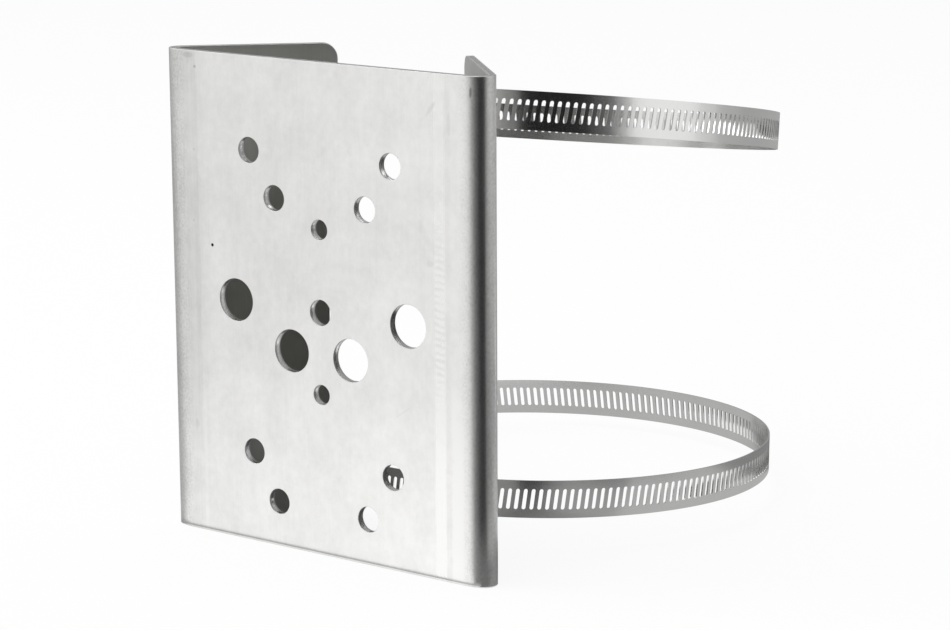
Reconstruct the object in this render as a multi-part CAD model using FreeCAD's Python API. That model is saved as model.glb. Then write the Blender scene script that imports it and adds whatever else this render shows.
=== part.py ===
import FreeCAD, Part
import math
import os

os.makedirs("parts", exist_ok=True)
Vector = FreeCAD.Vector

# Frame: the front face lies on Y = 0 and faces -Y, +X is to the right from the front, +Z is up.
# The origin is the middle of the hole pattern. All sizes are in mm.

# Sheet of the mounting plate
sheet = 3.175
plate_height = 204.7
flat_width = 154.5
inside_bend = 2.8
bend_angle = 135.0
flange_length = 65.1
corner_radius = 6.35
recess_depth = 5.0
recess_height = 124.0
recess_corner = 3.0

# Holes in the front plate
bolt_hole = 10.7
cable_hole = 17.9
pilot_hole = 8.3
outer_bolts_across = 73.6
inner_bolts_across = 47.4
bolts_apart = 127.0
inner_bolts_apart = 128.0
inner_bolts_drop = 19.15
outer_cables_across = 90.3
inner_cables_across = 31.0
inner_cables_drop = 17.85
pilots_apart = 68.5

# Strap slots in the flanges
strap_slot_width = 11.6
strap_slot_height = 20.8
strap_slot_corner = 2.0
strap_slot_edge = 9.0
strap_slot_level = 79.55
band_towards_edge = 1.0

# Clamp bands. Each slot here stands for two of the band's fine slots, to keep the faces few.
band_width = 15.875
band_thickness = 0.7
layer_gap = 0.15
perforation_pitch = 6.8
perforation_width = 3.2
perforation_height = 8.8
slots_per_facet = 2
plain_facet = 3.0
tongue_past_housing = 2.0
tail_past_housing = 32.0
rest_clearance = 0.02

# How each clamp hangs in its slots: ring radius, shift to the right, and the angles in degrees
# at which it rises to the right and to the back
upper_radius = 103.88
upper_shift = 7.2
upper_right_angle = 2.788
upper_back_angle = -9.946
lower_radius = 103.53
lower_shift = 4.64
lower_right_angle = 0.361
lower_back_angle = -1.890

# Clamp housing and screw
housing_length = 20.0
housing_wall = 1.1
housing_floor = 1.2
band_play = 0.15
worm_radius = 4.6
worm_over_band = 0.4
running_clearance = 0.05
end_play = 0.1
end_wall = 1.6
neck_radius = 3.2
head_across_flats = 7.94
head_length = 6.5
driver_slot_width = 1.4
driver_slot_depth = 2.0

# Values that follow from the sizes above
outside_bend = inside_bend + sheet
turn = math.radians(bend_angle)
half_height = plate_height / 2
half_flat = flat_width / 2
layer_step = band_thickness + layer_gap
strap_slot_along = flange_length - strap_slot_edge
reach = 50.0


def flange_vectors(side):
    """Start of the flange's outer face, the way along it and the way out of it."""
    out = Vector(side * math.sin(turn), -math.cos(turn), 0)
    along = Vector(side * math.cos(turn), math.sin(turn), 0)
    start = Vector(side * half_flat, outside_bend, 0) + out * outside_bend
    return start, along, out


def flange_point(side, distance, level, outward):
    start, along, out = flange_vectors(side)
    return start + along * distance + out * outward + Vector(0, 0, level)


def bend_point(side, radius, fraction):
    angle = turn * fraction
    return Vector(side * (half_flat + radius * math.sin(angle)), outside_bend - radius * math.cos(angle), 0)


def bend_arc(side, radius):
    ends = [bend_point(side, radius, fraction) for fraction in (0.0, 0.5, 1.0)]
    return Part.Arc(*ends).toShape()


def line(start, end):
    return Part.LineSegment(start, end).toShape()


def folded_sheet():
    right_outer = flange_point(1, flange_length, 0, 0)
    right_inner = flange_point(1, flange_length, 0, -sheet)
    left_outer = flange_point(-1, flange_length, 0, 0)
    left_inner = flange_point(-1, flange_length, 0, -sheet)
    edges = [
        line(bend_point(-1, outside_bend, 0), bend_point(1, outside_bend, 0)),
        bend_arc(1, outside_bend),
        line(bend_point(1, outside_bend, 1), right_outer),
        line(right_outer, right_inner),
        line(right_inner, bend_point(1, inside_bend, 1)),
        bend_arc(1, inside_bend),
        line(bend_point(1, inside_bend, 0), bend_point(-1, inside_bend, 0)),
        bend_arc(-1, inside_bend),
        line(bend_point(-1, inside_bend, 1), left_inner),
        line(left_inner, left_outer),
        line(left_outer, bend_point(-1, outside_bend, 1)),
        bend_arc(-1, outside_bend),
    ]
    section = Part.Wire(Part.__sortEdges__(edges))
    solid = Part.Face(section).extrude(Vector(0, 0, plate_height))
    solid.translate(Vector(0, 0, -half_height))
    return solid


def through_flange(side, wire):
    """Cutter through the flange from a wire drawn one sheet outside its outer face."""
    _, _, out = flange_vectors(side)
    return Part.Face(wire).extrude(out * (-3 * sheet))


def flange_window(side, near, far, low, high, corner):
    """Cutter for a rectangle on the flange with rounded corners."""
    corners = [(near, low), (far, low), (far, high), (near, high)]
    points = [flange_point(side, along, level, sheet) for along, level in corners]
    block = through_flange(side, Part.makePolygon(points + points[:1]))
    _, _, out = flange_vectors(side)
    upright = [edge for edge in block.Edges if abs(edge.tangentAt(edge.FirstParameter).dot(out)) > 0.99]
    return block.makeFillet(corner, upright)


def flange_corner(side, up):
    """Cutter that rounds the free corner at the top or the bottom of a flange."""
    edge_level = up * half_height
    bend_in = corner_radius * (1 - math.sqrt(0.5))
    start = flange_point(side, flange_length - corner_radius, edge_level, sheet)
    middle = flange_point(side, flange_length - bend_in, edge_level - up * bend_in, sheet)
    end = flange_point(side, flange_length, edge_level - up * corner_radius, sheet)
    beyond = flange_length + corner_radius
    outside = [
        flange_point(side, beyond, edge_level - up * corner_radius, sheet),
        flange_point(side, beyond, edge_level + up * corner_radius, sheet),
        flange_point(side, flange_length - corner_radius, edge_level + up * corner_radius, sheet),
    ]
    edges = [Part.Arc(start, middle, end).toShape()]
    loop = [end] + outside + [start]
    edges += [line(first, second) for first, second in zip(loop, loop[1:])]
    return through_flange(side, Part.Wire(edges))


def plate_hole(x, z, diameter):
    return Part.makeCylinder(diameter / 2, 3 * sheet, Vector(x, -sheet, z), Vector(0, 1, 0))


def hole_pair(across, level, diameter):
    return [plate_hole(side * across / 2, level, diameter) for side in (-1, 1)]


def mounting_plate():
    cutters = []
    for up in (1, -1):
        cutters += hole_pair(outer_bolts_across, up * bolts_apart / 2, bolt_hole)
        cutters += hole_pair(inner_bolts_across, up * inner_bolts_apart / 2 - inner_bolts_drop, bolt_hole)
    cutters += hole_pair(outer_cables_across, 0, cable_hole)
    cutters += hole_pair(inner_cables_across, -inner_cables_drop, cable_hole)
    cutters.append(plate_hole(0, 0, bolt_hole))
    for level in (pilots_apart / 2, -pilots_apart / 2):
        cutters.append(plate_hole(0, level, pilot_hole))
    near = strap_slot_along - strap_slot_width / 2
    far = strap_slot_along + strap_slot_width / 2
    for side in (-1, 1):
        for up in (-1, 1):
            low = up * strap_slot_level - strap_slot_height / 2
            cutters.append(flange_window(side, near, far, low, low + strap_slot_height, strap_slot_corner))
            cutters.append(flange_corner(side, up))
        recess = flange_length - recess_depth
        half = recess_height / 2
        cutters.append(flange_window(side, recess, flange_length + reach, -half, half, recess_corner))
    return folded_sheet().cut(cutters)


def ring_axes(right_angle, back_angle):
    """Directions of a tilted ring: to its right, to its back and along its axis."""
    rise_right = math.tan(math.radians(right_angle))
    rise_back = math.tan(math.radians(back_angle))
    axis = Vector(-rise_right, -rise_back, 1).normalize()
    right = Vector(1, 0, rise_right).normalize()
    return right, axis.cross(right), axis


def flange_crossings(centre, radius, axes, lift):
    """Points where a circle of the ring meets the inner and outer faces of both flanges."""
    right, back, axis = axes
    middle = centre + axis * lift
    points = []
    for side in (-1, 1):
        start, _, out = flange_vectors(side)
        for outward in (0, -sheet):
            wanted = out.dot(start - middle) + outward
            along_right = radius * out.dot(right)
            along_back = radius * out.dot(back)
            size = math.hypot(along_right, along_back)
            base = math.atan2(along_back, along_right)
            swing = math.acos(wanted / size)
            hits = []
            for angle in (base - swing, base + swing):
                hits.append(middle + right * (radius * math.cos(angle)) + back * (radius * math.sin(angle)))
            points.append(min(hits, key=lambda point: point.y))
    return points


def ring_placement(radius, shift, right_angle, back_angle, up):
    """Place of a ring whose band runs through the slots and rests on their lower edges."""
    axes = ring_axes(right_angle, back_angle)
    passage = flange_point(1, strap_slot_along + band_towards_edge, 0, -sheet / 2)
    depth = radius * axes[1].y * math.sqrt(1 - (passage.x / radius) ** 2)
    centre = Vector(shift, passage.y + depth, 0)
    lowest = reach
    for layer in (-band_thickness / 2, layer_step + band_thickness / 2):
        for point in flange_crossings(centre, radius + layer, axes, -band_width / 2):
            lowest = min(lowest, point.z)
    centre.z = up * strap_slot_level - strap_slot_height / 2 + rest_clearance - lowest
    return FreeCAD.Placement(FreeCAD.Matrix(
        axes[0].x, axes[1].x, axes[2].x, centre.x,
        axes[0].y, axes[1].y, axes[2].y, centre.y,
        axes[0].z, axes[1].z, axes[2].z, centre.z,
        0, 0, 0, 1))


# Clamps are drawn lying flat round the origin, with the housing on the -X side and the tail to +Y.


def strip_point(radius, angle, outward):
    """Point on the rolled strip. The angle falls from the tongue, once round, to the end of the tail."""
    half_step = layer_step / 2
    if angle > 0:
        run, centre_x = radius, 0.0
    elif angle > -math.pi:
        run, centre_x = radius + half_step, -half_step
    else:
        run, centre_x = radius + layer_step, 0.0
    return Vector(centre_x + (run + outward) * math.cos(angle), (run + outward) * math.sin(angle), 0)


def strip_corners(radius):
    """Angles where the strip's facets meet, and the first angle of each facet that has slots."""
    clear = (housing_length / 2 + perforation_width) / radius
    tongue = (housing_length / 2 + tongue_past_housing) / radius
    ring = 2 * (math.pi - clear)
    slotted = ring / round(ring * radius / (slots_per_facet * perforation_pitch))
    tail = clear + slotted * round((tail_past_housing - perforation_width) / (radius * slotted))
    stretches = [
        (math.pi + tongue, math.pi - clear, plain_facet / radius, False),
        (math.pi - clear, clear - math.pi, slotted, True),
        (clear - math.pi, -math.pi - clear, plain_facet / radius, False),
        (-math.pi - clear, -math.pi - tail, slotted, True),
    ]
    corners = [math.pi + tongue]
    facets = []
    for start, end, wanted, has_slots in stretches:
        count = max(1, round((start - end) / wanted))
        for number in range(count):
            following = start + (end - start) * (number + 1) / count
            if has_slots:
                facets.append((corners[-1], following))
            corners.append(following)
    return corners, facets


def facet_slots(radius, start, end):
    """Cutters through one flat facet of the strip, side by side."""
    first = strip_point(radius, start, 0)
    last = strip_point(radius, end, 0)
    along = (last - first) / slots_per_facet
    across = Vector(along).normalize() * perforation_width
    out = Vector(across.y, -across.x, 0).normalize() * layer_step
    if out.dot(first) < 0:
        out = -out
    cutters = []
    for number in range(slots_per_facet):
        corner = first + along * (number + 0.5) - across / 2 - out / 2 - Vector(0, 0, perforation_height / 2)
        points = [corner, corner + across, corner + across + out, corner + out, corner]
        cutters.append(Part.Face(Part.makePolygon(points)).extrude(Vector(0, 0, perforation_height)))
    return cutters


def clamp_band(radius):
    half = band_thickness / 2
    corners, facets = strip_corners(radius)
    outside = [strip_point(radius, angle, half) for angle in corners]
    inside = [strip_point(radius, angle, -half) for angle in reversed(corners)]
    outline = Part.makePolygon(outside + inside + outside[:1])
    strip = Part.Face(outline).extrude(Vector(0, 0, band_width))
    strip.translate(Vector(0, 0, -band_width / 2))
    cutters = []
    for start, end in facets:
        cutters += facet_slots(radius, start, end)
    return strip.cut(Part.makeCompound(cutters))


def worm_axis_radius(radius):
    return radius + layer_step + band_thickness / 2 + worm_over_band + worm_radius


def arc_block(inner, outer, height, length):
    """Piece of a ring on the -X side, cut off square at both ends."""
    start = Vector(0, 0, -height / 2)
    ring = Part.makeCylinder(outer, height, start).cut(Part.makeCylinder(inner, height, start))
    return ring.common(Part.makeBox(outer, length, height, Vector(-outer, -length / 2, -height / 2)))


def along_screw(radius, axis_radius, start, end):
    return Part.makeCylinder(radius, end - start, Vector(-axis_radius, start, 0), Vector(0, 1, 0))


def clamp_housing(radius):
    axis_radius = worm_axis_radius(radius)
    half = housing_length / 2
    band_inside = (radius - band_thickness / 2) * math.cos(0.6 * plain_facet / radius)
    band_outside = radius + layer_step + band_thickness / 2 + band_play
    passage_width = band_width + 2 * band_play
    bore = worm_radius + running_clearance
    arch = bore + housing_wall
    saddle = arc_block(band_inside - housing_floor, band_outside + housing_wall,
                       passage_width + 2 * housing_wall, housing_length)
    neck = Part.makeBox(axis_radius - band_outside, housing_length, 2 * arch,
                        Vector(-axis_radius, -half, -arch))
    body = saddle.fuse([neck, along_screw(arch, axis_radius, -half, half)])
    open_width = 2 * worm_radius * 0.8
    window = Part.makeBox(axis_radius - band_inside, housing_length - 2 * end_wall, open_width,
                          Vector(-axis_radius, -half + end_wall, -open_width / 2))
    cutters = [
        arc_block(band_inside, band_outside, passage_width, 2 * housing_length),
        along_screw(bore, axis_radius, -half + end_wall, half - end_wall),
        along_screw(neck_radius + running_clearance, axis_radius, -housing_length, 0),
        window,
    ]
    return body.cut(cutters).removeSplitter()


def clamp_screw(radius):
    axis_radius = worm_axis_radius(radius)
    front = -housing_length / 2 - end_play
    worm_front = -housing_length / 2 + end_wall + end_play
    worm_back = housing_length / 2 - end_wall - end_play
    worm = along_screw(worm_radius, axis_radius, worm_front, worm_back)
    neck = along_screw(neck_radius, axis_radius, front, worm_front)
    corner = head_across_flats / math.sqrt(3)
    head_front = front - head_length
    points = []
    for step in range(7):
        angle = math.radians(60 * step)
        points.append(Vector(corner * math.cos(angle) - axis_radius, head_front, corner * math.sin(angle)))
    head = Part.Face(Part.makePolygon(points)).extrude(Vector(0, head_length, 0))
    slot = Part.makeBox(3 * corner, driver_slot_depth, driver_slot_width,
                        Vector(-axis_radius - 1.5 * corner, head_front, -driver_slot_width / 2))
    return worm.fuse([neck, head]).cut(slot).removeSplitter()


def main():
    pieces = {"mounting_plate": mounting_plate()}
    clamps = [
        ("upper", upper_radius, upper_shift, upper_right_angle, upper_back_angle, 1),
        ("lower", lower_radius, lower_shift, lower_right_angle, lower_back_angle, -1),
    ]
    for name, radius, shift, right_angle, back_angle, up in clamps:
        place = ring_placement(radius, shift, right_angle, back_angle, up)
        clamp = {
            "band": clamp_band(radius),
            "housing": clamp_housing(radius),
            "screw": clamp_screw(radius),
        }
        for kind, shape in clamp.items():
            shape.Placement = place
            pieces[name + "_" + kind] = shape
    for node, shape in pieces.items():
        shape.exportStep("parts/" + node + ".step")


main()
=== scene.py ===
import math

import bmesh
import bpy
from mathutils import Matrix, Vector


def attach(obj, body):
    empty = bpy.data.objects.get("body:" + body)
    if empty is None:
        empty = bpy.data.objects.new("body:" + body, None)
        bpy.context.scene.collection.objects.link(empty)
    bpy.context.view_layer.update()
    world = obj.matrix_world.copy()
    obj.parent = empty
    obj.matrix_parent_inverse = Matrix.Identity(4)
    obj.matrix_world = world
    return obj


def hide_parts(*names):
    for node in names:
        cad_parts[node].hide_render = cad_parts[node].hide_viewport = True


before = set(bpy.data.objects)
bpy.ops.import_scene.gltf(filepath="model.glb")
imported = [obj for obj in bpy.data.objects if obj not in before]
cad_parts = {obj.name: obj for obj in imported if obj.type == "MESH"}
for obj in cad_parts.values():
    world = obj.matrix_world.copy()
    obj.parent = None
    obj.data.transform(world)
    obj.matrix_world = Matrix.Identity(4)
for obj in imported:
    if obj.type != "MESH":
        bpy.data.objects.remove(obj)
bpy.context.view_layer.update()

# Sizes in mm, the same as in the part's source. Meshes are made in metres.
MM = 0.001
sheet = 3.175
plate_height = 204.7
flat_width = 154.5
inside_bend = 2.8
bend_angle = 135.0
flange_length = 65.1
corner_radius = 6.35
recess_depth = 5.0
recess_height = 124.0
recess_corner = 3.0
bolt_hole = 10.7
cable_hole = 17.9
pilot_hole = 8.3
outer_bolts_across = 73.6
inner_bolts_across = 47.4
bolts_apart = 127.0
inner_bolts_apart = 128.0
inner_bolts_drop = 19.15
outer_cables_across = 90.3
inner_cables_across = 31.0
inner_cables_drop = 17.85
pilots_apart = 68.5
strap_slot_width = 11.6
strap_slot_height = 20.8
strap_slot_corner = 2.0
strap_slot_edge = 9.0
strap_slot_level = 79.55
band_width = 15.875
band_thickness = 0.7
layer_gap = 0.15
tongue_past_housing = 2.0
tail_past_housing = 32.0
housing_length = 20.0
worm_radius = 4.6
worm_over_band = 0.4
end_play = 0.1
end_wall = 1.6
neck_radius = 3.2
head_across_flats = 7.94
head_length = 6.5
driver_slot_width = 1.4
driver_slot_depth = 2.0

# Finer sizes that only the dressed pieces have
sheared_edge = 0.18
edge_steps = 3
edge_margin = 0.5
bend_steps = 24
bow_steps = 8
bow_start = 69.5
bow_tilt = 17.0
hole_steps = 64
corner_steps = 8
slot_pitch = 3.2385
slot_width = 1.58
slot_length = 8.9
slot_slant = 0.12
slot_end_steps = 4
band_end_rounding = 4.0
band_tail_lead = 1.0
band_ease = 0.17
flat_within = 1.0
housing_ease = 0.3
ease_segments = 2
ease_from_angle = 40.0
thread_root = 3.9
thread_around = 40
thread_rows_per_turn = 8
thread_fullness = 1.9
thread_steepness = 5.0
thread_runout = 1.6
head_steps = 48
head_chamfer = 0.7
head_chamfer_behind = 0.6
neck_overlap = 1.0
driver_slot_run = 20.0
head_smooth_angle = 18.0

# Radii of the screw head, as shares of half its size across the flats
head_face_share = 0.93
head_corner_share = 1.16
head_behind_share = 0.98

# Points closer than this are welded: in metres, and in mm on the flat blank
weld = 1e-6
skin_weld = 2e-6
blank_weld = 1e-4

# Sides of the sheet, as numbers that the blank's faces carry
outer_side = 0
sheared_side = 1
inner_side = 2

# Values that follow from the sizes above
half_height = plate_height / 2
half_flat = flat_width / 2
outside_bend = inside_bend + sheet
bend_turn = math.radians(bend_angle)
layer_step = band_thickness + layer_gap
screw_front = -housing_length / 2 - end_play - head_length

# The sheet bows a little before each bend. The bend is eased so that the flanges stay where they are.
bow_turn = math.radians(bow_tilt)
past_bow = half_flat + outside_bend * math.sin(bend_turn) - bow_start
bend_across = math.sin(bend_turn) - math.sin(bow_turn)
bend_depth = math.cos(bow_turn) - math.cos(bend_turn)
eased_bend = outside_bend * (1 - math.cos(bend_turn)) - bow_turn * past_bow / 3
eased_bend = eased_bend / (bend_depth - bow_turn * bend_across / 3)
bow_run = past_bow - eased_bend * bend_across
bend_run = eased_bend * (bend_turn - bow_turn)
fold_end = bow_start + bow_run + bend_run

# Each clamp: ring radius, centre, rise to the right and to the back in degrees, angle of one slot in degrees
clamps = {
    "upper": (103.88, (7.2, 143.8953, 63.3582), 2.788, -9.946, -62.93),
    "lower": (103.53, (4.64, 144.9017, -84.7830), 0.361, -1.890, -62.54),
}

# The studio in metres: the distance of the cards that reflections see, the floor, and where the lamps aim.
# The floor glows, more for the camera than for reflections, so that the shade on it stays faint.
card_distance = 2.5
card_steps = 24
floor_reach = 6.0
floor_grey = 0.9
floor_glow_seen = 0.88
floor_glow_mirrored = 0.75
lamp_aim = (0, 0.08, 0)

# The photograph's camera: width and focal length in pixels, angles in degrees, the part's place in mm
photo_width = 950
photo_focal = 3000.0
sensor_width = 36.0
view_azimuth = 36.748
view_elevation = 12.1
view_roll = -0.282
view_right = -62.777
view_up = 0.842
view_distance = 1217.836


# Node trees


class Value:
    """A node's output, used in sums as a number is."""

    def __init__(self, nodes, socket):
        self.nodes = nodes
        self.socket = socket

    def sum(self, operation, *terms):
        return self.nodes.out("ShaderNodeMath", {"operation": operation}, dict(enumerate(terms)))

    def __add__(self, other):
        return self.sum("ADD", self, other)

    def __radd__(self, other):
        return self.sum("ADD", other, self)

    def __sub__(self, other):
        return self.sum("SUBTRACT", self, other)

    def __rsub__(self, other):
        return self.sum("SUBTRACT", other, self)

    def __mul__(self, other):
        return self.sum("MULTIPLY", self, other)

    def __rmul__(self, other):
        return self.sum("MULTIPLY", other, self)

    def __truediv__(self, other):
        return self.sum("DIVIDE", self, other)

    def __lt__(self, other):
        return self.sum("LESS_THAN", self, other)

    def __gt__(self, other):
        return self.sum("GREATER_THAN", self, other)

    def __neg__(self):
        return self.sum("MULTIPLY", self, -1.0)

    def __abs__(self):
        return self.sum("ABSOLUTE", self)

    def least(self, other):
        return self.sum("MINIMUM", self, other)

    def most(self, other):
        return self.sum("MAXIMUM", self, other)

    def sine(self):
        return self.sum("SINE", self)

    def cosine(self):
        return self.sum("COSINE", self)

    def part_of_one(self):
        return self.sum("FRACT", self)

    def sign(self):
        return self.sum("SIGN", self)

    def soft_step(self, low, high):
        """0 below low, 1 above high, smooth between."""
        return self.nodes.out("ShaderNodeMapRange", {"interpolation_type": "SMOOTHSTEP"},
                              {"Value": self, "From Min": low, "From Max": high})


class Nodes:
    """One node tree, whether of a finish or of a shape."""

    def __init__(self, tree):
        self.tree = tree

    def node(self, kind, settings=None, sockets=None):
        made = self.tree.nodes.new(kind)
        for name, setting in (settings or {}).items():
            setattr(made, name, setting)
        for name, given in (sockets or {}).items():
            for one in given if isinstance(given, list) else [given]:
                self.feed(made.inputs[name], one)
        return made

    def feed(self, socket, given):
        if isinstance(given, Value):
            self.tree.links.new(given.socket, socket)
        else:
            socket.default_value = given

    def out(self, kind, settings=None, sockets=None, output=0):
        return Value(self, self.node(kind, settings, sockets).outputs[output])

    def split(self, vector):
        parts = self.node("ShaderNodeSeparateXYZ", None, {0: vector})
        return [Value(self, socket) for socket in parts.outputs]

    def join(self, x, y, z):
        return self.out("ShaderNodeCombineXYZ", None, {0: x, 1: y, 2: z})


class Finish(Nodes):
    """A material with one metal shader."""

    def __init__(self, name, colour, roughness):
        self.material = bpy.data.materials.new(name)
        self.material.use_nodes = True
        super().__init__(self.material.node_tree)
        self.shader = self.tree.nodes["Principled BSDF"]
        self.set("Base Color", (*colour, 1.0))
        self.set("Roughness", roughness)
        self.set("Metallic", 1.0)

    def set(self, socket, given):
        self.feed(self.shader.inputs[socket], given)

    def place(self):
        """Object coordinates in mm."""
        metres = self.out("ShaderNodeTexCoord", None, None, "Object")
        return self.out("ShaderNodeVectorMath", {"operation": "SCALE"}, {0: metres, "Scale": 1000.0})

    def noise(self, x, y, z, detail, rough):
        return self.out("ShaderNodeTexNoise", None,
                        {"Vector": self.join(x, y, z), "Scale": 1.0, "Detail": detail, "Roughness": rough})

    def mix(self, factor, first, second):
        """A colour between two, both given as red, green and blue. Inputs 6 and 7 of the node are colours."""
        colours = {0: factor, 6: (*first, 1.0), 7: (*second, 1.0)}
        return self.out("ShaderNodeMix", {"data_type": "RGBA"}, colours, 2)

    def bump(self, height, strength, depth):
        self.set("Normal", self.out("ShaderNodeBump", None,
                                    {"Height": height, "Strength": strength, "Distance": depth}))


class Shape(Nodes):
    """A geometry node tree with named sizes."""

    kinds = {"number": "NodeSocketFloat", "count": "NodeSocketInt", "object": "NodeSocketObject",
             "finish": "NodeSocketMaterial"}

    def __init__(self, name, **sizes):
        super().__init__(bpy.data.node_groups.new(name, "GeometryNodeTree"))
        self.tree.interface.new_socket("Geometry", in_out="OUTPUT", socket_type="NodeSocketGeometry")
        self.identifiers = {}
        for size, kind in sizes.items():
            made = self.tree.interface.new_socket(size, in_out="INPUT", socket_type=self.kinds[kind])
            self.identifiers[size] = made.identifier
        self.given = self.tree.nodes.new("NodeGroupInput")
        self.result = self.tree.nodes.new("NodeGroupOutput")

    def size(self, name):
        return Value(self, self.given.outputs[name])

    def geometry_of(self, name):
        return self.out("GeometryNodeObjectInfo", None, {"Object": self.size(name)}, "Geometry")

    def position(self):
        return self.split(self.out("GeometryNodeInputPosition"))

    def moved(self, geometry, x, y, z):
        return self.out("GeometryNodeSetPosition", None,
                        {"Geometry": geometry, "Position": self.join(x, y, z)})

    def welded(self, *geometries):
        joined = self.out("GeometryNodeJoinGeometry", None, {0: list(reversed(geometries))})
        realized = self.out("GeometryNodeRealizeInstances", None, {0: joined})
        return self.out("GeometryNodeMergeByDistance", None, {"Geometry": realized, "Distance": weld})

    def finished(self, geometry, finish, selection=True):
        return self.out("GeometryNodeSetMaterial", None,
                        {"Geometry": geometry, "Selection": selection, "Material": finish})

    def make(self, name, geometry, **sizes):
        """The tree's result as a plain mesh."""
        realized = self.out("GeometryNodeRealizeInstances", None, {0: geometry})
        self.feed(self.result.inputs[0], realized)
        holder = object_of(name, bpy.data.meshes.new(name + "_start"))
        modifier = holder.modifiers.new(name, "NODES")
        modifier.node_group = self.tree
        for size, value in sizes.items():
            modifier[self.identifiers[size]] = value
        mesh = evaluated_mesh(holder)
        bpy.data.objects.remove(holder)
        return mesh


# Mesh helpers


def evaluated_mesh(holder):
    bpy.context.view_layer.update()
    graph = bpy.context.evaluated_depsgraph_get()
    return bpy.data.meshes.new_from_object(holder.evaluated_get(graph), depsgraph=graph)


def object_of(name, data):
    made = bpy.data.objects.new(name, data)
    bpy.context.collection.objects.link(made)
    return made


def mesh_of(name, points, faces):
    mesh = bpy.data.meshes.new(name)
    mesh.from_pydata(points, [], faces)
    return mesh


def mesh_from(name, shell):
    """The shell as a mesh. The shell is used up."""
    mesh = bpy.data.meshes.new(name)
    shell.to_mesh(mesh)
    shell.free()
    return mesh


def piece(name, mesh, body, nodes, smooth_angle=35.0):
    """A finished mesh as a piece of the part, smooth but for edges sharper than the angle."""
    mesh.name = name
    for face in mesh.polygons:
        face.use_smooth = True
    mesh.set_sharp_from_angle(angle=math.radians(smooth_angle))
    made = object_of(name, mesh)
    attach(made, body)
    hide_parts(*nodes)


def solid_of(name, mesh, changes):
    """A mesh after others are cut from it or joined to it, in one closed skin."""
    holder = object_of(name, mesh)
    others = []
    for operation, other in changes:
        others.append(object_of(other.name, other))
        change = holder.modifiers.new(other.name, "BOOLEAN")
        change.operation = operation
        change.object = others[-1]
    result = evaluated_mesh(holder)
    for used in [holder] + others:
        bpy.data.objects.remove(used)
    skin = bmesh.new()
    skin.from_mesh(result)
    bmesh.ops.remove_doubles(skin, verts=skin.verts, dist=skin_weld)
    bmesh.ops.dissolve_degenerate(skin, edges=skin.edges, dist=skin_weld)
    return mesh_from(name, skin)


# Mounting plate: the flat blank is drawn first, with its sheared edges eased, and a node tree folds it


def arc(centre, radius, start, end, steps):
    points = []
    for step in range(steps + 1):
        angle = math.radians(start + (end - start) * step / steps)
        points.append((centre[0] + radius * math.cos(angle), centre[1] + radius * math.sin(angle)))
    return points


def circle(x, z, diameter):
    return arc((x, z), diameter / 2, 0, 360 - 360 / hole_steps, hole_steps - 1)


def rounded_rectangle(left, right, low, high, corner):
    points = []
    points += arc((right - corner, low + corner), corner, -90, 0, corner_steps)
    points += arc((right - corner, high - corner), corner, 0, 90, corner_steps)
    points += arc((left + corner, high - corner), corner, 90, 180, corner_steps)
    points += arc((left + corner, low + corner), corner, 180, 270, corner_steps)
    return points


def flange_outline():
    """Free edge of the right flange on the flat blank, from the lower end of its bend to the upper end."""
    free = fold_end + flange_length
    recess = free - recess_depth
    half = recess_height / 2
    lower = arc((free - corner_radius, corner_radius - half_height), corner_radius, -90, 0, corner_steps)
    lower += [(free, -half)]
    lower += arc((recess + recess_corner, recess_corner - half), recess_corner, 270, 180, corner_steps)
    upper = [(x, -z) for x, z in reversed(lower)]
    return [(fold_end, -half_height)] + lower + upper + [(fold_end, half_height)]


def bend_places():
    """Places across the flat blank where the bow and then the bend have their steps."""
    bow = [bow_start + bow_run * step / bow_steps for step in range(bow_steps)]
    bend = [bow_start + bow_run + bend_run * step / bend_steps for step in range(bend_steps + 1)]
    return bow + bend


def blank_outline():
    """Outer edge of the flat blank, counter-clockwise, with a point at each step of the bends."""
    right = [(x, -half_height) for x in bend_places()[:-1]] + flange_outline()
    right += [(x, half_height) for x in reversed(bend_places()[:-1])]
    left = [(-x, -z) for x, z in right]
    return right + left


def hole_outlines():
    holes = []
    for side in (-1, 1):
        for up in (1, -1):
            holes.append(circle(side * outer_bolts_across / 2, up * bolts_apart / 2, bolt_hole))
            level = up * inner_bolts_apart / 2 - inner_bolts_drop
            holes.append(circle(side * inner_bolts_across / 2, level, bolt_hole))
        holes.append(circle(side * outer_cables_across / 2, 0, cable_hole))
        holes.append(circle(side * inner_cables_across / 2, -inner_cables_drop, cable_hole))
        holes.append(circle(0, side * pilots_apart / 2, pilot_hole))
    holes.append(circle(0, 0, bolt_hole))
    return holes


def slot_outlines(side):
    middle = fold_end + flange_length - strap_slot_edge
    left = side * middle - strap_slot_width / 2
    slots = []
    for up in (-1, 1):
        low = up * strap_slot_level - strap_slot_height / 2
        slots.append(rounded_rectangle(left, left + strap_slot_width, low, low + strap_slot_height,
                                       strap_slot_corner))
    return slots


def inset(loop, distance):
    """The loop moved by a distance to its left, which is into the metal for the outline."""
    moved = []
    for before, here, after in zip(loop[-1:] + loop[:-1], loop, loop[1:] + loop[:1]):
        first = (Vector(here) - Vector(before)).normalized()
        second = (Vector(after) - Vector(here)).normalized()
        normal = Vector((-first.y - second.y, first.x + second.x)).normalized()
        stretch = max(normal.dot(Vector((-first.y, first.x))), 0.5)
        moved.append(tuple(Vector(here) + normal * (distance / stretch)))
    return moved


def edge_profile():
    """Inset and depth of each step of a sheared edge and the flat margins beside it, outer face first."""
    outer = [(edge_margin, 0.0)]
    for step in range(edge_steps + 1):
        angle = math.radians(90 * step / edge_steps)
        outer.append((sheared_edge * (1 - math.sin(angle)), sheared_edge * (1 - math.cos(angle))))
    inner = [(aside, sheet - depth) for aside, depth in reversed(outer)]
    return outer + inner


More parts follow.
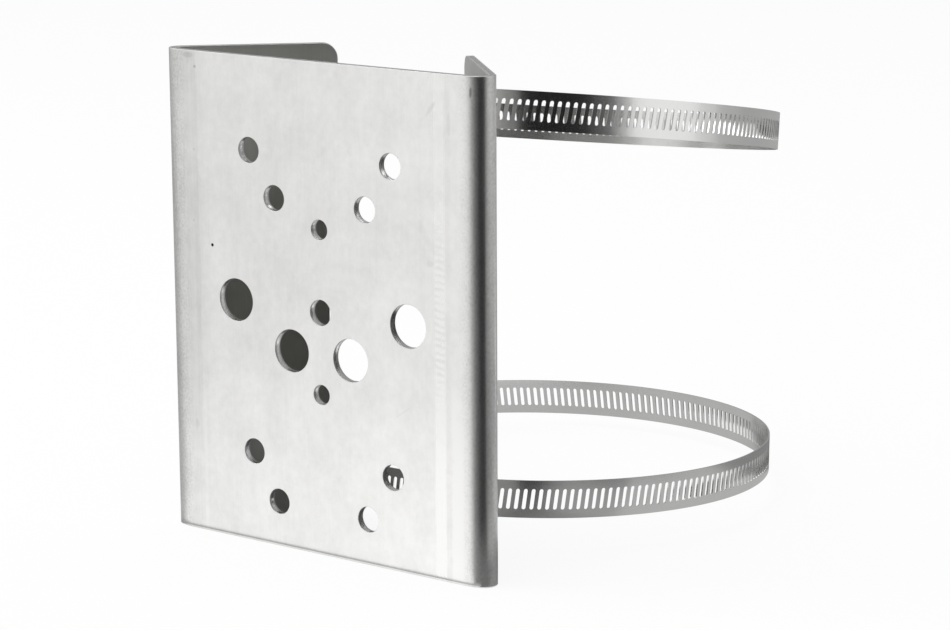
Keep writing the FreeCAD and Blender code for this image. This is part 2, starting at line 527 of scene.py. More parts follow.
def fill(shell, outer, holes, depth):
    """A flat face with holes, at a depth in the sheet."""
    edges = []
    for loop in [outer] + holes:
        corners = [shell.verts.new((x, depth, z)) for x, z in loop]
        edges += [shell.edges.new(pair) for pair in zip(corners, corners[1:] + corners[:1])]
    made = bmesh.ops.triangle_fill(shell, edges=edges, use_beauty=True, normal=(0, -1, 0))
    return [item for item in made["geom"] if isinstance(item, bmesh.types.BMFace)]


def flat_blank():
    """The unfolded sheet: X across, Y into the sheet from its outer face, Z up."""
    shell = bmesh.new()
    side_of_sheet = shell.faces.layers.int.new("side_of_sheet")
    outline = blank_outline()
    holes = [list(reversed(loop)) for loop in hole_outlines()]
    slots = {side: [list(reversed(loop)) for loop in slot_outlines(side)] for side in (-1, 1)}
    profile = edge_profile()
    for loop in [outline] + holes + slots[-1] + slots[1]:
        rings = []
        for aside, depth in profile:
            rings.append([shell.verts.new((x, depth, z)) for x, z in inset(loop, aside)])
        sides = [outer_side] + [sheared_side] * (len(rings) - 3) + [inner_side]
        for upper, lower, side in zip(rings, rings[1:], sides):
            for number in range(len(loop)):
                corners = (upper[number - 1], upper[number], lower[number], lower[number - 1])
                shell.faces.new(corners)[side_of_sheet] = side
    inner_outline = inset(outline, edge_margin)
    half = len(inner_outline) // 2
    fold_steps = len(bend_places()) - 1
    right_flange = inner_outline[fold_steps:fold_steps + len(flange_outline())]
    left_flange = inner_outline[half + fold_steps:half + fold_steps + len(flange_outline())]
    first = inner_outline[0]
    front = [(-first[0], first[1]), first, (first[0], -first[1]), (-first[0], -first[1])]
    clear = half_height - edge_margin
    for depth, face_out, side in ((0.0, -1, outer_side), (sheet, 1, inner_side)):
        faces = fill(shell, front, [inset(loop, edge_margin) for loop in holes], depth)
        faces += fill(shell, right_flange, [inset(loop, edge_margin) for loop in slots[1]], depth)
        faces += fill(shell, left_flange, [inset(loop, edge_margin) for loop in slots[-1]], depth)
        for across in (-1, 1):
            places = bend_places()
            for near, far in zip(places, places[1:]):
                corners = [(near, -clear), (far, -clear), (far, clear), (near, clear)]
                faces.append(shell.faces.new([shell.verts.new((across * x, depth, z)) for x, z in corners]))
        for face in faces:
            face[side_of_sheet] = side
            face.normal_update()
            if face.normal.y * face_out < 0:
                face.normal_flip()
    bmesh.ops.remove_doubles(shell, verts=shell.verts, dist=blank_weld)
    bmesh.ops.recalc_face_normals(shell, faces=shell.faces)
    bmesh.ops.scale(shell, vec=(MM, MM, MM), verts=shell.verts)
    return mesh_from("flat_blank", shell)


def folded_plate(outer_finish, edge_finish, inner_finish):
    """The blank bowed and bent at both sides. Each point keeps its place in the blank for the finishes."""
    blank = object_of("flat_blank", flat_blank())
    fold = Shape("fold_the_blank", Blank="object", Bow_Start="number", Bow_Run="number", Bow_Turn="number",
                 Bend_Run="number", Bend_Radius="number", Bend_Turn="number", Outer_Finish="finish",
                 Edge_Finish="finish", Inner_Finish="finish")
    across, depth, level = fold.position()
    reach = abs(across)
    start, run, radius = fold.size("Bow_Start"), fold.size("Bow_Run"), fold.size("Bend_Radius")
    bow, turn = fold.size("Bow_Turn"), fold.size("Bend_Turn")
    in_bow = ((reach - start) / run).most(0.0).least(1.0)
    in_bend = ((reach - start - run) / fold.size("Bend_Run")).most(0.0).least(1.0)
    bent = bow + (turn - bow) * in_bend
    tilt = bow * in_bow * in_bow + (turn - bow) * in_bend
    past = (reach - start - run - fold.size("Bend_Run")).most(0.0)
    x = reach.least(start + run) + radius * (bent.sine() - bow.sine())
    x = x + past * turn.cosine() - depth * tilt.sine()
    y = bow * run * in_bow * in_bow * in_bow / 3.0 + radius * (bow.cosine() - bent.cosine())
    y = y + past * turn.sine() + depth * tilt.cosine()
    kept = fold.out("GeometryNodeStoreNamedAttribute", {"data_type": "FLOAT_VECTOR", "domain": "POINT"},
                    {"Geometry": fold.geometry_of("Blank"), "Name": "flat_sheet",
                     "Value": fold.out("GeometryNodeInputPosition")})
    shaped = fold.moved(kept, across.sign() * x, y, level)
    side = fold.out("GeometryNodeInputNamedAttribute", {"data_type": "INT"}, {"Name": "side_of_sheet"})
    shaped = fold.finished(shaped, fold.size("Outer_Finish"))
    shaped = fold.finished(shaped, fold.size("Edge_Finish"), side > outer_side + 0.5)
    shaped = fold.finished(shaped, fold.size("Inner_Finish"), side > sheared_side + 0.5)
    mesh = fold.make("mounting_plate_dressed", shaped, Blank=blank, Bow_Start=bow_start * MM,
                     Bow_Run=bow_run * MM, Bow_Turn=bow_turn, Bend_Run=bend_run * MM,
                     Bend_Radius=eased_bend * MM, Bend_Turn=bend_turn, Outer_Finish=outer_finish,
                     Edge_Finish=edge_finish, Inner_Finish=inner_finish)
    bpy.data.objects.remove(blank)
    return mesh


# Clamp bands: a slotted cell of flat strip is repeated, welded and rolled up by a node tree


def slotted_cell():
    """One pitch of flat strip with its slanted slot: X along, Y across, Z outward."""
    straight = slot_length / 2 - slot_width / 2
    half_pitch = slot_pitch / 2
    half_width = band_width / 2
    rim = []
    border = []
    for up in (1, -1):
        for step in range(slot_end_steps + 1):
            angle = math.pi * step / slot_end_steps
            x = up * slot_width / 2 * math.cos(angle)
            y = up * (straight + slot_width / 2 * math.sin(angle))
            rim.append((x - slot_slant * y, y))
        border += [(up * half_pitch, up * straight), (up * half_pitch, up * half_width), (0, up * half_width),
                   (-up * half_pitch, up * half_width), (-up * half_pitch, up * straight)]
    count = len(rim)
    points = []
    for z in (band_thickness / 2, -band_thickness / 2):
        points += [(x * MM, y * MM, z * MM) for x, y in rim + border]
    back = 2 * count
    faces = []
    for number in range(count):
        after = (number + 1) % count
        faces.append((number, count + number, count + after, after))
        faces.append((back + number, back + after, back + count + after, back + count + number))
        faces.append((number, after, back + after, back + number))
        on_long_side = number % (slot_end_steps + 1) in (1, 2)
        if on_long_side:
            faces.append((count + number, back + count + number, back + count + after, count + after))
    return mesh_of("slotted_cell", points, faces)


def plain_strip(name, columns, closed_start, closed_end):
    """Plain flat strip with a half width at each place along it."""
    straight = slot_length / 2 - slot_width / 2
    points = []
    for along, half_width in columns:
        inner = straight * half_width / (band_width / 2)
        for z in (band_thickness / 2, -band_thickness / 2):
            points += [(along * MM, y * MM, z * MM) for y in (-half_width, -inner, inner, half_width)]
    faces = []
    for number in range(len(columns) - 1):
        here, there = 8 * number, 8 * number + 8
        for row in range(3):
            faces.append((here + row, there + row, there + row + 1, here + row + 1))
            faces.append((here + 4 + row, here + 5 + row, there + 5 + row, there + 4 + row))
        faces.append((here, here + 4, there + 4, there))
        faces.append((here + 3, there + 3, there + 7, here + 7))
    for closed, start, turn in ((closed_start, 0, 1), (closed_end, 8 * len(columns) - 8, -1)):
        for row in range(3):
            corners = (start + row, start + row + 1, start + row + 5, start + row + 4)
            if closed:
                faces.append(corners[::turn])
    return mesh_of(name, points, faces)


def tail_end():
    """Last stretch of the tail, with its corners rounded off."""
    columns = [(0.0, band_width / 2)]
    for step in range(corner_steps + 1):
        angle = math.radians(90 * step / corner_steps)
        columns.append((band_tail_lead + band_end_rounding * math.sin(angle),
                        band_width / 2 - band_end_rounding * (1 - math.cos(angle))))
    return plain_strip("tail_end", columns, False, True)


def ring_place(centre, right_angle, back_angle):
    """Where a clamp that was drawn lying flat round the origin hangs in the plate's slots."""
    rise_right = math.tan(math.radians(right_angle))
    rise_back = math.tan(math.radians(back_angle))
    axis = Vector((-rise_right, -rise_back, 1)).normalized()
    right = Vector((1, 0, rise_right)).normalized()
    back = axis.cross(right)
    place = Matrix((right, back, axis)).transposed().to_4x4()
    place.translation = Vector(centre) * MM
    return place


def rolled_band(name, radius, slot_angle, finish):
    """A whole band lying flat round the origin: plain under the housing, then slotted, then its tail."""
    tongue = housing_length / 2 + tongue_past_housing
    start = math.pi + tongue / radius
    run_to_slot = (start - math.radians(slot_angle)) * radius
    wanted = tongue + housing_length / 2 + slot_pitch
    plain = wanted + (run_to_slot - slot_pitch / 2 - wanted) % slot_pitch
    total = tongue + 2 * math.pi * radius + tail_past_housing
    count = int((total - plain - band_end_rounding - band_tail_lead) / slot_pitch)
    steps = round(plain / slot_pitch)
    columns = [(plain * step / steps, band_width / 2) for step in range(steps + 1)]
    cell = object_of("slotted_cell", slotted_cell())
    tongue_strip = object_of("tongue_strip", plain_strip("tongue_strip", columns, True, False))
    tail_strip = object_of("tail_strip", tail_end())
    roll = Shape("roll_" + name, Cell="object", Tongue="object", Tail_End="object", Plain="number",
                 Pitch="number", Cells="count", Radius="number", Layer_Step="number", Start_Angle="number",
                 Finish="finish")
    pitch, plain_run = roll.size("Pitch"), roll.size("Plain")
    line = roll.out("GeometryNodeMeshLine", {"mode": "OFFSET"},
                    {"Count": roll.size("Cells"), "Offset": roll.join(pitch, 0.0, 0.0),
                     "Start Location": roll.join(plain_run + 0.5 * pitch, 0.0, 0.0)})
    slotted = roll.out("GeometryNodeInstanceOnPoints", None,
                       {"Points": line, "Instance": roll.geometry_of("Cell")})
    end = roll.out("GeometryNodeTransform", None,
                   {"Geometry": roll.geometry_of("Tail_End"),
                    "Translation": roll.join(plain_run + pitch * roll.size("Cells"), 0.0, 0.0)})
    flat = roll.welded(roll.geometry_of("Tongue"), slotted, end)
    kept = roll.out("GeometryNodeStoreNamedAttribute", {"data_type": "FLOAT_VECTOR", "domain": "POINT"},
                    {"Geometry": flat, "Name": "flat_strip", "Value": roll.out("GeometryNodeInputPosition")})
    along, across, outward = roll.position()
    angle = roll.size("Start_Angle") - along / roll.size("Radius")
    half_step = roll.size("Layer_Step") * 0.5
    past_half = angle < 0.0
    past_all = angle < -math.pi
    run = roll.size("Radius") + half_step * (past_half + past_all) + outward
    shift = half_step * (past_all - past_half)
    rolled = roll.moved(kept, shift + run * angle.cosine(), run * angle.sine(), across)
    turned = roll.out("GeometryNodeFlipFaces", None, {0: rolled})
    mesh = roll.make(name, roll.finished(turned, roll.size("Finish")), Cell=cell, Tongue=tongue_strip,
                     Tail_End=tail_strip, Plain=plain * MM, Pitch=slot_pitch * MM, Cells=count,
                     Radius=radius * MM, Layer_Step=layer_step * MM, Start_Angle=start, Finish=finish)
    for holder in (cell, tongue_strip, tail_strip):
        bpy.data.objects.remove(holder)
    return mesh


# Clamp housings and worm screws


def eased_housing(node, finish):
    """A welded copy of a housing from the frame, with its edges eased."""
    shell = bmesh.new()
    shell.from_mesh(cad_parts[node].data)
    bmesh.ops.remove_doubles(shell, verts=shell.verts, dist=weld)
    bmesh.ops.dissolve_limit(shell, angle_limit=math.radians(flat_within), verts=shell.verts,
                             edges=shell.edges)
    holder = object_of(node + "_copy", mesh_from(node + "_copy", shell))
    bevel = holder.modifiers.new("eased", "BEVEL")
    bevel.width = housing_ease * MM
    bevel.segments = ease_segments
    bevel.limit_method = "ANGLE"
    bevel.angle_limit = math.radians(ease_from_angle)
    eased = evaluated_mesh(holder)
    bpy.data.objects.remove(holder)
    eased.materials.clear()
    eased.materials.append(finish)
    return eased


def worm_thread():
    """The threaded length of a clamp screw along Y, drawn in to its axis at both ends."""
    length = housing_length - 2 * (end_wall + end_play)
    turns = length / slot_pitch
    rows = int(turns * thread_rows_per_turn) + 2
    thread = Shape("worm_thread", Around="count", Rows="count", Length="number", Pitch="number",
                   Root="number", Crest="number")
    grid = thread.out("GeometryNodeMeshGrid", None,
                      {"Size X": 1.0, "Size Y": 1.0, "Vertices X": thread.size("Around"),
                       "Vertices Y": thread.size("Rows")})
    turn, along, _ = thread.position()
    angle = (turn + 0.5) * (2 * math.pi)
    place = along * thread.size("Length")
    winding = (place / thread.size("Pitch") + turn).part_of_one()
    ridge = (thread_fullness - abs(winding - 0.5) * thread_steepness).most(0.0).least(1.0)
    ends = (thread.size("Length") * 0.5 - abs(place)) / thread.size("Pitch")
    ridge = ridge * (ends * thread_runout).most(0.0).least(1.0)
    depth = thread.size("Crest") - thread.size("Root")
    before_end = ends > 1e-4
    radius = (thread.size("Root") + depth * ridge) * before_end
    wound = thread.moved(grid, radius * angle.cosine(), place, radius * angle.sine())
    closed = thread.out("GeometryNodeMergeByDistance", None, {"Geometry": wound, "Distance": weld})
    mesh = thread.make("worm_thread", closed, Around=thread_around + 1, Rows=rows, Length=length * MM,
                       Pitch=slot_pitch * MM, Root=thread_root * MM, Crest=worm_radius * MM)
    shell = bmesh.new()
    shell.from_mesh(mesh)
    bmesh.ops.recalc_face_normals(shell, faces=shell.faces)
    return mesh_from("worm_thread", shell)


def screw_head():
    """Hexagon head with its chamfers, and the neck behind it, which ends inside the thread."""
    flat = head_across_flats / 2
    corner = flat * head_corner_share
    behind = screw_front + head_length
    inside_worm = -housing_length / 2 + end_wall + neck_overlap
    profile = [
        (screw_front, flat * head_face_share, False),
        (screw_front + head_chamfer, corner, True),
        (behind - head_chamfer_behind, corner, True),
        (behind, flat * head_behind_share, True),
        (behind, neck_radius, False),
        (inside_worm, neck_radius, False),
    ]
    points = []
    for along, radius, is_hexagon in profile:
        for step in range(head_steps):
            angle = 2 * math.pi * step / head_steps
            edge = (angle + math.pi / 6) % (math.pi / 3) - math.pi / 6
            reach = min(radius, flat / math.cos(math.pi / 6 - abs(edge))) if is_hexagon else radius
            points.append((reach * math.cos(angle) * MM, along * MM, reach * math.sin(angle) * MM))
    last = (len(profile) - 1) * head_steps
    faces = [tuple(range(head_steps)), tuple(reversed(range(last, last + head_steps)))]
    for row in range(len(profile) - 1):
        for step in range(head_steps):
            here = row * head_steps + step
            beside = row * head_steps + (step + 1) % head_steps
            faces.append((here, here + head_steps, beside + head_steps))
            faces.append((here, beside + head_steps, beside))
    return mesh_of("screw_head", points, faces)


def driver_slot():
    """The block that is cut out of a screw head for the screwdriver."""
    block = bmesh.new()
    bmesh.ops.create_cube(block, size=1.0)
    sizes = Vector((driver_slot_run, 2 * driver_slot_depth, driver_slot_width)) * MM
    bmesh.ops.scale(block, vec=sizes, verts=block.verts)
    bmesh.ops.translate(block, vec=(0, screw_front * MM, 0), verts=block.verts)
    return mesh_from("driver_slot", block)


def worm_screw(name, radius, place, finish):
    """A clamp's screw, beside its band on the left of the ring."""
    axis_radius = radius + layer_step + band_thickness / 2 + worm_over_band + worm_radius
    mesh = solid_of(name, screw_head(), [("UNION", worm_thread()), ("DIFFERENCE", driver_slot())])
    mesh.transform(place @ Matrix.Translation((-axis_radius * MM, 0, 0)))
    mesh.materials.append(finish)
    return mesh


# Finishes


def soft_spot(x, z, middle_x, middle_z, half_x, half_z, lean=0.0):
    """1 in the middle of a mark on the front face, fading to 0 at its edge. Lean shifts it with height."""
    aside = (x - middle_x - (z - middle_z) * lean) / half_x
    up = (z - middle_z) / half_z
    return 1.0 - (aside * aside + up * up).soft_step(0.2, 1.0)


def mill_aluminium():
    """The outer face: rolled streaks, cloudy smudges, lines from the bending die and a few marks, with
    painted light: lighter towards the right, painted shade towards the left bend, and a painted highlight low
    down by the right bend.
    """
    finish = Finish("mill_aluminium", (0.9, 0.9, 0.9), 0.4)
    x, y, z = finish.split(finish.place())
    streaks = finish.noise(x * 0.9, y * 0.9, z * 0.02, 4.0, 0.6)
    clouds = finish.noise(x * 0.05, y * 0.05, z * 0.04, 4.0, 0.6)
    mottle = finish.noise(x * 0.3, y * 0.3, z * 0.22, 3.0, 0.7)
    smudges = finish.noise(x * 0.16, y * 0.16, z * 0.13, 3.0, 0.6).soft_step(0.56, 0.78)
    front = 1.0 - y.soft_step(2.0, 3.0)
    low = (-z).soft_step(-10.0, 90.0)
    teeth = (z * 2.2 + x * 0.25 + mottle * 6.0).sine() * (1.0 - abs(z - 4.0).soft_step(15.0, 40.0))
    right_line = x.soft_step(57.8, 59.2) * (1.0 - x.soft_step(63.0, 64.2))
    right_gap = x.soft_step(63.4, 64.6) * (1.0 - x.soft_step(65.6, 67.2))
    # Painted highlight: a lighter strip beside the right bend, in the lower part of the face.
    painted_highlight_right = x.soft_step(66.0, 68.5) * (1.0 - x.soft_step(71.5, 73.0))
    left_line = (-x).soft_step(62.6, 63.6) * (1.0 - (-x).soft_step(64.6, 65.6)) * low
    left_edge = (-x).soft_step(64.2, 65.4) * (1.0 - (-x).soft_step(66.4, 68.0)) * (1.0 - low)
    bruised = finish.noise(x * 0.7, y * 0.7, z * 0.035, 3.0, 0.6).soft_step(0.42, 0.66)
    beside = (-x).soft_step(58.0, 68.0) * bruised
    # Painted shade: the face darker towards the left bend, less so low down.
    painted_shade_left = (-x).soft_step(56.0, 76.0) * (1.0 - low * 0.45)
    # Painted light: the face lighter towards the right.
    painted_light_right = x.soft_step(-40.0, 75.0)
    peel = abs(x).soft_step(69.0, 74.0)
    grit = finish.noise(x * 1.1, y * 1.1, z * 0.9, 4.0, 0.75)
    marks = [
        soft_spot(x, z, -57.7, 21.8, 0.9, 0.9),
        soft_spot(x, z, -65.3, 95.8, 0.9, 0.8) * 0.3,
        soft_spot(x, z, -66.7, 61.2, 0.8, 0.7) * 0.12,
        soft_spot(x, z, -67.7, 31.2, 0.8, 0.7) * 0.12,
        soft_spot(x, z, -69.0, 100.4, 3.6, 1.4) * 0.16,
        soft_spot(x, z, -68.5, -56.2, 1.4, 3.0, 0.1) * 0.08,
        soft_spot(x, z, 57.2, 88.2, 1.4, 3.6, 0.7) * 0.10,
        soft_spot(x, z, 66.0, 83.0, 1.1, 6.0) * 0.06,
        soft_spot(x, z, 56.6, 26.7, 2.6, 1.6, 0.3) * 0.07,
        soft_spot(x, z, 42.4, -35.5, 0.9, 3.2, 1.4) * 0.05,
        soft_spot(x, z, 76.4, 96.0, 0.7, 2.6, 0.05) * 0.5,
        soft_spot(x, z, 29.6, 40.0, 0.35, 40.0, 0.0147) * 0.03,
    ]
    marked = marks[0]
    for mark in marks[1:]:
        marked = marked.most(mark)
    marked = marked * front
    shade = 0.865 + (streaks - 0.5) * 0.06 + (clouds - 0.5) * 0.25 + (mottle - 0.5) * 0.15 - smudges * 0.033
    shade = shade + peel * (grit - 0.5) * 0.6
    # Lines from the bending die, with painted highlight: the right line and the strip beside the right bend
    # get lighter low down.
    die_lines_and_highlight = right_line * (0.025 + teeth * 0.04 + low * 0.06) + painted_highlight_right * low * 0.08 + left_line * 0.03
    # Painted light on the right and painted shade on the left, with darker strips and patches near the bends.
    marks_and_painted_light = painted_light_right * 0.085 - right_gap * 0.03 - left_edge * 0.03 - beside * 0.03 - painted_shade_left * 0.14
    shade = shade + front * (die_lines_and_highlight + marks_and_painted_light)
    level = (shade * (1.0 - marked)).most(0.0).least(1.0)
    finish.set("Base Color", finish.mix(level, (0.0, 0.0, 0.0), (0.97, 0.968, 0.955)))
    finish.set("Roughness", 0.30 + (streaks - 0.5) * 0.10 + smudges * 0.06 - right_line * front * 0.05)
    grain = finish.noise(x * 3.1, y * 3.1, z * 0.12, 2.0, 0.5)
    finish.bump(grain + marked * -3.0, 0.12, 0.00002)
    return finish.material


def inner_aluminium():
    """The inner face, rougher than the outer face, with painted shade: its colour darker than the outer
    face's, and darkest in the middle of its height.
    """
    finish = Finish("inner_aluminium", (0.7, 0.7, 0.7), 0.42)
    x, y, z = finish.split(finish.place())
    streaks = finish.noise(x * 0.9, y * 0.9, z * 0.02, 4.0, 0.6)
    clouds = finish.noise(x * 0.05, y * 0.05, z * 0.04, 4.0, 0.6)
    # Painted shade: darker in the middle of the face's height.
    painted_shade_middle = 1.0 - abs(z + 12.0).soft_step(20.0, 90.0)
    level = 0.95 + (streaks - 0.5) * 0.3 + (clouds - 0.5) * 0.6 - painted_shade_middle * 0.95
    finish.set("Base Color", finish.mix(level.most(0.0).least(1.0), (0.43, 0.43, 0.41), (0.74, 0.74, 0.72)))
    finish.set("Roughness", 0.38 + (streaks - 0.5) * 0.10 + clouds * 0.06)
    grain = finish.noise(x * 3.1, y * 3.1, z * 0.12, 2.0, 0.5)
    finish.bump(grain, 0.12, 0.00002)
    return finish.material


def sheared_aluminium():
    """Cut edges and hole walls: a burnished land in the middle of the sheet, torn metal behind it."""
    finish = Finish("sheared_aluminium", (0.69, 0.69, 0.68), 0.45)
    x, y, z = finish.split(finish.place())
    flat_place = finish.out("ShaderNodeAttribute", {"attribute_name": "flat_sheet"}, None, "Vector")
    depth = finish.split(flat_place)[1] / MM
    scoring = finish.noise(x * 2.2, y * 0.5, z * 2.2, 3.0, 0.6)
    smears = finish.noise(x * 0.15, y * 0.4, z * 0.15, 3.0, 0.5)
    land = depth.soft_step(0.4, 1.0) * (1.0 - (depth + (smears - 0.5) * 1.5).soft_step(2.0, 2.5))
    level = (0.34 + (scoring - 0.5) * 0.5 + (smears - 0.5) * 0.5 + land * 0.5).most(0.0).least(1.0)
    finish.set("Base Color", finish.mix(level, (0.54, 0.54, 0.535), (0.92, 0.92, 0.91)))
    finish.set("Roughness", 0.40 + scoring * 0.18 - land * 0.24)
    finish.bump(scoring * (1.0 - land * 0.8), 0.25, 0.00004)
    return finish.material


def band_stainless():
    finish = Finish("band_stainless", (0.55, 0.55, 0.54), 0.30)
    strip = finish.out("ShaderNodeAttribute", {"attribute_name": "flat_strip"}, None, "Vector")
    millimetres = finish.out("ShaderNodeVectorMath", {"operation": "SCALE"}, {0: strip, "Scale": 1000.0})
    along, across, outward = finish.split(millimetres)
    lines = finish.noise(along * 0.05, across * 4.0, outward, 3.0, 0.6)
    patches = finish.noise(along * 0.06, across * 0.12, outward, 2.0, 0.5)
    level = (0.5 + (lines - 0.5) * 0.5 + (patches - 0.5) * 0.6).most(0.0).least(1.0)
    finish.set("Base Color", finish.mix(level, (0.76, 0.76, 0.75), (0.88, 0.88, 0.87)))
    finish.set("Roughness", 0.13 + lines * 0.08 + patches * 0.04)
    finish.bump(lines, 0.10, 0.00002)
    return finish.material


def clamp_stainless(name, colour, roughness):
    finish = Finish(name, colour, roughness)
    x, y, z = finish.split(finish.place())
    drawn = finish.noise(x * 1.6, y * 0.25, z * 1.6, 3.0, 0.6)
    patches = finish.noise(x * 0.25, y * 0.25, z * 0.25, 2.0, 0.5)
    darker = tuple(0.78 * part for part in colour)
    level = (0.5 + (drawn - 0.5) * 0.6 + (patches - 0.5) * 0.6).most(0.0).least(1.0)
    finish.set("Base Color", finish.mix(level, darker, colour))
    finish.set("Roughness", roughness - 0.06 + drawn * 0.12)
    finish.bump(drawn, 0.15, 0.00003)
    return finish.material


# Studio


def empty_nodes(owner):
    """The node tree of a world or a material, cleared."""
    owner.use_nodes = True
    owner.node_tree.nodes.clear()
    return Nodes(owner.node_tree)


def studio_world():
    """A white world that lights the part a little less than it looks."""
    world = bpy.data.worlds.new("studio")
    bpy.context.scene.world = world
    nodes = empty_nodes(world)
    rays = nodes.node("ShaderNodeLightPath")
    seen = Value(nodes, rays.outputs["Is Camera Ray"])
    seen = seen.most(Value(nodes, rays.outputs["Is Glossy Ray"]))
    lit = nodes.out("ShaderNodeBackground", None, {"Color": (1, 1, 1, 1), "Strength": 0.7})
    white = nodes.out("ShaderNodeBackground", None, {"Color": (1, 1, 1, 1), "Strength": 1.0})
    mixed = nodes.out("ShaderNodeMixShader", None, {0: seen, 1: lit, 2: white})
    nodes.node("ShaderNodeOutputWorld", None, {"Surface": mixed})


def square(half):
    """Corners of a square round the origin."""
    return (-half, -half), (half, -half), (half, half), (-half, half)


def studio_floor():
    points = [(x, y, -half_height * MM) for x, y in square(floor_reach)]
    floor = object_of("studio_floor", mesh_of("studio_floor", points, [(0, 1, 2, 3)]))
    material = bpy.data.materials.new("pale_floor")
    nodes = empty_nodes(material)
    rays = nodes.node("ShaderNodeLightPath")
    glow = Value(nodes, rays.outputs["Is Camera Ray"]) * floor_glow_seen
    glow = glow.most(Value(nodes, rays.outputs["Is Glossy Ray"]) * floor_glow_mirrored)
    matt = nodes.out("ShaderNodeBsdfDiffuse", None, {"Color": (floor_grey, floor_grey, floor_grey, 1)})
    white = nodes.out("ShaderNodeEmission", None, {"Color": (1, 1, 1, 1), "Strength": 1.0})
    mixed = nodes.out("ShaderNodeMixShader", None, {0: glow, 1: matt, 2: white})
    nodes.node("ShaderNodeOutputMaterial", None, {"Surface": mixed})
    floor.data.materials.append(material)


def reflected_only(name, points, faces, grey):
    """A card that only reflections see."""
    card = object_of(name, mesh_of(name, points, faces))
    material = bpy.data.materials.new(name)
    nodes = empty_nodes(material)
    glow = nodes.out("ShaderNodeEmission", None, {"Color": (grey, grey, grey, 1), "Strength": 1.0})
    nodes.node("ShaderNodeOutputMaterial", None, {"Surface": glow})
    card.data.materials.append(material)
    card.visible_camera = False
    card.visible_diffuse = False
    card.visible_shadow = False
    card.visible_transmission = False


def sector(apex, azimuths, reaches, levels):
    """Points and faces of a strip round an apex. Azimuth 0 is in front of the plate, 90 to its right."""
    points = []
    for step in range(card_steps + 1):
        azimuth = math.radians(azimuths[0] + (azimuths[1] - azimuths[0]) * step / card_steps)
        for reach, level in zip(reaches, levels):
            points.append((apex[0] + reach * math.sin(azimuth), apex[1] - reach * math.cos(azimuth), level))
    faces = [(2 * step, 2 * step + 2, 2 * step + 3, 2 * step + 1) for step in range(card_steps)]
    return points, faces


def wall_card(name, azimuths, elevations, grey):
    """A curved card standing round the part."""
    levels = [card_distance * math.tan(math.radians(elevation)) for elevation in elevations]
    points, faces = sector((0, 0), azimuths, (card_distance, card_distance), levels)
    reflected_only(name, points, faces, grey)


def floor_card(name, azimuths, reaches, height, grey):
    """A card lying just above the floor, spread round the right bend."""
    level = -half_height * MM + height
    points, faces = sector((half_flat * MM, 0), azimuths, reaches, (level, level))
    reflected_only(name, points, faces, grey)


def floor_patch(name, corners, height, grey):
    """A four-cornered card lying just above the floor."""
    level = -half_height * MM + height
    reflected_only(name, [(x, y, level) for x, y in corners], [(0, 1, 2, 3)], grey)


def flag_card(name, middle, half, grey):
    """A small square card that stands facing the plate's back."""
    x, y, z = middle
    points = [(x + across, y, z + up) for across, up in square(half)]
    reflected_only(name, points, [(0, 1, 2, 3)], grey)


def studio_lamp(name, place, size, power):
    lamp = bpy.data.lights.new(name, "AREA")
    lamp.shape = "SQUARE"
    lamp.size = size
    lamp.energy = power
    holder = object_of(name, lamp)
    holder.location = place
    aim = Vector(lamp_aim) - Vector(place)
    holder.rotation_euler = aim.to_track_quat("-Z", "Y").to_euler()


def photo_camera():
    azimuth = math.radians(view_azimuth)
    elevation = math.radians(view_elevation)
    roll = math.radians(view_roll)
    back = Vector((math.sin(azimuth) * math.cos(elevation), -math.cos(azimuth) * math.cos(elevation),
                   math.sin(elevation)))
    level_right = (-back).cross(Vector((0, 0, 1))).normalized()
    level_up = level_right.cross(-back)
    right = math.cos(roll) * level_right + math.sin(roll) * level_up
    up = math.cos(roll) * level_up - math.sin(roll) * level_right
    data = bpy.data.cameras.new("photo_camera")
    data.sensor_fit = "HORIZONTAL"
    data.sensor_width = sensor_width
    data.lens = sensor_width * photo_focal / photo_width
    data.clip_start = 0.05
    data.clip_end = 50.0
    camera = object_of("photo_camera", data)
    turned = Matrix((right, up, back)).transposed().to_4x4()
    turned.translation = (view_distance * back - view_right * right - view_up * up) * MM
    camera.matrix_world = turned
    bpy.context.scene.camera = camera


def dress_the_part():
    plate_finishes = mill_aluminium(), sheared_aluminium(), inner_aluminium()
    band_finish = band_stainless()
    housing_finish = clamp_stainless("housing_stainless", (0.62, 0.62, 0.61), 0.32)
    screw_finish = clamp_stainless("screw_stainless", (0.60, 0.60, 0.59), 0.28)
    piece("mounting_plate_dressed", folded_plate(*plate_finishes), "bracket",
          ["mounting_plate"])
    for name, (radius, centre, right_angle, back_angle, slot_angle) in clamps.items():
        place = ring_place(centre, right_angle, back_angle)
        band = rolled_band(name + "_band_dressed", radius - band_ease, slot_angle, band_finish)
        band.transform(place)
        piece(name + "_band_dressed", band, "bracket", [name + "_band"])
        housing = eased_housing(name + "_housing", housing_finish)
        piece(name + "_housing_dressed", housing, "bracket", [name + "_housing"])
        screw = worm_screw(name + "_screw_dressed", radius, place, screw_finish)
        piece(name + "_screw_dressed", screw, name + "_worm", [name + "_screw"],
              head_smooth_angle)


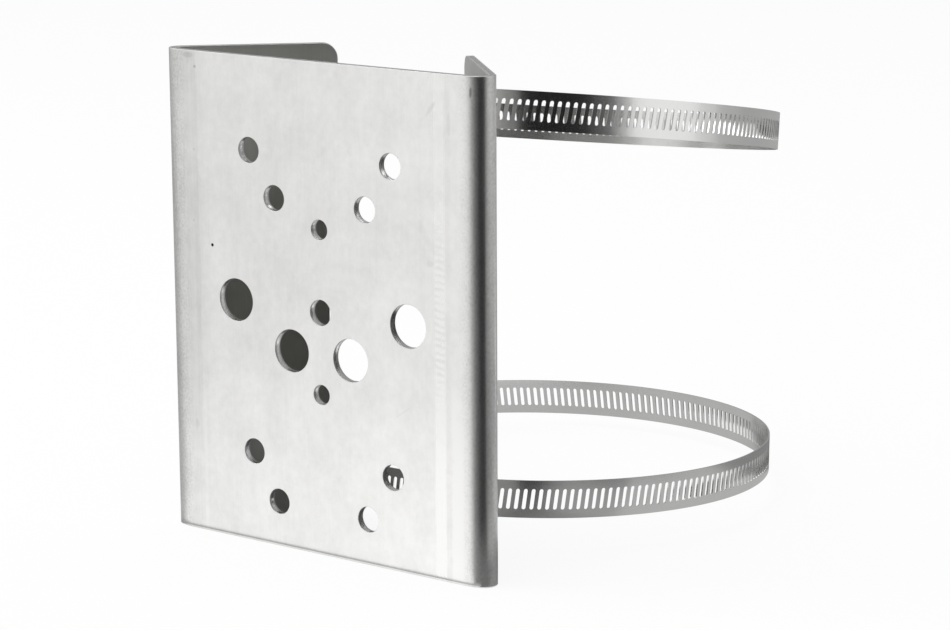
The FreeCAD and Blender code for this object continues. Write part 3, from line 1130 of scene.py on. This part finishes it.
def light_the_studio():
    """Floor, lamps and cards. Where cards overlap, the higher one is the one that is mirrored."""
    bpy.context.scene.view_settings.view_transform = "Standard"
    studio_world()
    studio_floor()
    wall_card("dark_camera_side", (-20, 63), (-3, 60), 0.015)
    wall_card("dim_right_side", (63, 74), (-3, 60), 0.09)
    wall_card("middle_right_side", (74, 81), (-3, 60), 0.42)
    wall_card("white_right_side", (81, 116), (-3, 60), 0.95)
    wall_card("pale_right_side", (116, 128), (-3, 60), 0.72)
    wall_card("middle_far_side", (128, 146), (-3, 60), 0.48)
    wall_card("grey_far_side", (146, 285), (-3, 60), 0.34)
    wall_card("pale_left_side", (285, 340), (-3, 60), 0.885)
    floor_card("pale_left_floor", (270, 340), (0.0, card_distance), 0.0002, 0.843)
    floor_card("dark_camera_floor", (-20, 60), (0.002, card_distance), 0.0004, 0.025)
    # Floor cards to the right of the part, behind it and just in front of it are darker the nearer they are
    # to it: painted shadow of the part on the floor, seen only in reflections.
    floor_card("dim_right_floor", (60, 110), (0.002, 0.40), 0.0004, 0.16)
    floor_card("middle_right_floor", (60, 110), (0.40, card_distance), 0.0004, 0.30)
    floor_card("dim_back_floor", (110, 270), (0.0, 0.35), 0.0004, 0.24)
    floor_card("middle_back_floor", (110, 270), (0.35, 0.70), 0.0004, 0.36)
    floor_card("pale_back_floor", (110, 270), (0.70, card_distance), 0.0004, 0.42)
    floor_card("dim_near_floor", (-14, 110), (0.002, 0.06), 0.0006, 0.16)
    floor_patch("floor_in_ring", [(-0.13, 0.07), (0.22, 0.07), (0.22, 0.19), (-0.13, 0.28)], 0.0006, 0.50)
    floor_patch("floor_beside_ring", [(0.12, -0.02), (0.19, -0.02), (0.19, 0.07), (0.12, 0.07)], 0.0008, 0.38)
    floor_patch("bright_floor", [(-0.30, -0.20), (0.001, -0.20), (0.074, -0.002), (-0.085, -0.002)], 0.0006,
                1.0)
    floor_patch("left_floor", [(-1.60, -0.85), (-0.079, 0.0), (-0.079, 0.02), (-1.60, 0.85)], 0.0007, 0.46)
    floor_patch("pale_far_floor", [(0.14, 0.28), (0.23, 0.28), (0.49, 0.68), (0.36, 0.68)], 0.0007, 0.92)
    floor_patch("pale_in_ring", [(0.0, 0.06), (0.06, 0.06), (0.10, 0.16), (0.05, 0.16)], 0.0009, 0.95)
    floor_patch("contact_shade", [(-0.085, -0.002), (0.08, -0.002), (0.08, 0.003), (-0.085, 0.003)], 0.0008,
                0.40)
    floor_patch("shade_behind_plate", [(-0.08, 0.003), (0.08, 0.003), (0.08, 0.058), (-0.08, 0.058)], 0.0009,
                0.06)
    # A dark card behind the plate, in front of the lower band: painted shade, seen only in reflections.
    flag_card("flag_before_band", (-0.0025, 0.030, -0.0775), 0.0055, 0.11)
    studio_lamp("top_lamp", (-0.6, -0.5, 2.2), 2.0, 22.0)
    studio_lamp("left_lamp", (-2.0, -1.2, 1.0), 1.5, 14.0)


dress_the_part()
light_the_studio()
photo_camera()
